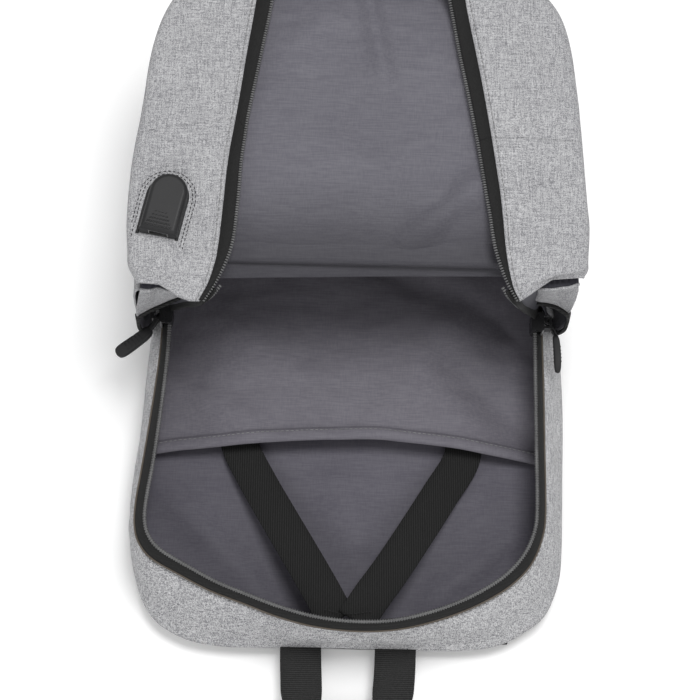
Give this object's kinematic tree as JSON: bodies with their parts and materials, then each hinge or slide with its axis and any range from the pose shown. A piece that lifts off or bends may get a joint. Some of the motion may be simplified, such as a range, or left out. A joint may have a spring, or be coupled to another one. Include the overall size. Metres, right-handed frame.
{
  "type": "solar laptop backpack",
  "caption": "Soft grey laptop backpack lying open: hinged solar front flap, padded sleeve, elastic straps, side charging port, zippers, handle and shoulder straps.",
  "frame": {"origin": "middle of the centre back pad's outer face, which the bag lies on", "axes": "+Z away from the wearer's back, towards the open front; -Y towards the bag's top and carrying handle; +X to the right with the open bag seen from above"},
  "size_m": [0.3298, 0.5388, 0.231],
  "materials": {
    "back_mesh": "black spacer mesh",
    "foam": "closed-cell foam",
    "lining": "dark grey taffeta",
    "flap_lining": "mid grey taffeta",
    "sleeve_fabric": "mid grey taffeta",
    "grey_canvas": "heather grey canvas",
    "zipper_tape": "black zipper tape",
    "zipper_coil": "black nylon coil",
    "zipper_edge": "black zipper tape and coil",
    "binding": "black binding tape",
    "elastic": "black ribbed elastic",
    "webbing": "dark grey webbing",
    "buckle_plastic": "black moulded plastic",
    "slider_metal": "black enamelled zinc",
    "pull_rubber": "soft moulded rubber",
    "port_plastic": "matt black plastic",
    "port_metal": "bright plated steel",
    "port_tongue": "black plastic",
    "solar_board": "black laminate",
    "solar_cell": "dark blue silicon",
    "solar_film": "clear film",
    "solar_trim": "black woven trim"
  },
  "bodies": {
    "root": {"centre_pad": "back_mesh", "lumbar_pad": "back_mesh", "back_cover": "back_mesh", "back_foam": "foam", "back_lining": "lining", "back_wall_left": "grey_canvas", "back_wall_right": "grey_canvas", "back_wall_top": "grey_canvas", "back_zipper_tape": "zipper_tape", "back_zipper_chain": "zipper_coil", "zipper_stops": "zipper_coil", "side_wall_left": "grey_canvas", "side_wall_right": "grey_canvas", "bottom_wall": "grey_canvas", "front_lower_lining": "lining", "front_lower_foam": "foam", "front_lower_cover": "grey_canvas", "fold_roll": "grey_canvas", "sleeve_panel": "sleeve_fabric", "sleeve_hem": "sleeve_fabric", "sleeve_welts": "sleeve_fabric", "elastic_anchor": "binding", "elastic_left": "elastic", "elastic_right": "elastic", "pocket_left": "grey_canvas", "pocket_right": "grey_canvas", "pocket_bindings": "binding", "handle_tab": "binding", "strap_yoke": "binding", "strap_tabs": "grey_canvas"},
    "front_flap": {"flap_cover": "grey_canvas", "flap_board": "foam", "flap_lining": "flap_lining", "charge_controller": "solar_board", "flap_end_wall": "grey_canvas", "flap_end_tape": "zipper_tape", "flap_end_chain": "zipper_coil", "solar_backing": "solar_board", "solar_cells": "solar_cell", "solar_cover": "solar_film", "solar_border": "solar_trim"},
    "gusset_left": {"gusset_left": "grey_canvas", "gusset_zipper_left": "zipper_edge", "port_housing": "port_plastic", "port_socket": "port_metal", "port_tongue": "port_tongue"},
    "gusset_right": {"gusset_right": "grey_canvas", "gusset_zipper_right": "zipper_edge"},
    "slider_left": {"slider_left": "slider_metal"},
    "pull_left": {"pull_left": "pull_rubber"},
    "shoulder_strap_left": {"strap_pad_left": "grey_canvas", "ladder_lock_left": "buckle_plastic", "strap_webbing_left": "webbing"},
    "slider_right": {"slider_right": "slider_metal"},
    "pull_right": {"pull_right": "pull_rubber"},
    "shoulder_strap_right": {"strap_pad_right": "grey_canvas", "ladder_lock_right": "buckle_plastic", "strap_webbing_right": "webbing"},
    "carrying_handle": {"handle_webbing": "webbing", "handle_grip": "webbing"}
  },
  "joints": [
    {"name": "flap_fold", "type": "hinge", "parent": "root", "child": "front_flap", "pos_m": [0, 0.017, 0.1525], "axis": [1, 0, 0], "range_deg": [0, 178]},
    {"name": "gusset_fold_left", "type": "hinge", "parent": "front_flap", "child": "gusset_left", "pos_m": [-0.148, 0.09, 0.157], "axis": [0, -1, 0], "range_deg": [0, 70]},
    {"name": "gusset_fold_right", "type": "hinge", "parent": "front_flap", "child": "gusset_right", "pos_m": [0.148, 0.09, 0.157], "axis": [0, 1, 0], "range_deg": [0, 70]},
    {"name": "slider_travel_left", "type": "slide", "parent": "root", "child": "slider_left", "axis": [-0.07, -0.9975, 0], "range_m": [0, 0.115]},
    {"name": "pull_swing_left", "type": "hinge", "parent": "slider_left", "child": "pull_left", "pos_m": [-0.13704, 0.00448, 0.06905], "axis": [0, 0, -1], "range_deg": [-40, 20]},
    {"name": "slider_travel_right", "type": "slide", "parent": "root", "child": "slider_right", "axis": [0, -1, 0], "range_m": [0, 0.115]},
    {"name": "pull_swing_right", "type": "hinge", "parent": "slider_right", "child": "pull_right", "pos_m": [0.13615, 0.004, 0.06905], "axis": [0, 0, 1], "range_deg": [-15, 45]},
    {"name": "handle_lift", "type": "hinge", "parent": "root", "child": "carrying_handle", "pos_m": [0, -0.2213, 0.016], "axis": [-1, 0, 0], "range_deg": [0, 90]},
    {"name": "strap_swing_left", "type": "hinge", "parent": "root", "child": "shoulder_strap_left", "pos_m": [0, -0.2025, 0.006], "axis": [-1, 0, 0], "range_deg": [0, 35]},
    {"name": "strap_swing_right", "type": "hinge", "parent": "root", "child": "shoulder_strap_right", "pos_m": [0, -0.2025, 0.006], "axis": [-1, 0, 0], "range_deg": [0, 35]}
  ],
  "couplings": [
    {"joint": "gusset_fold_left", "follows": "flap_fold", "ratio": 0.39325},
    {"joint": "gusset_fold_right", "follows": "flap_fold", "ratio": 0.39325}
  ]
}
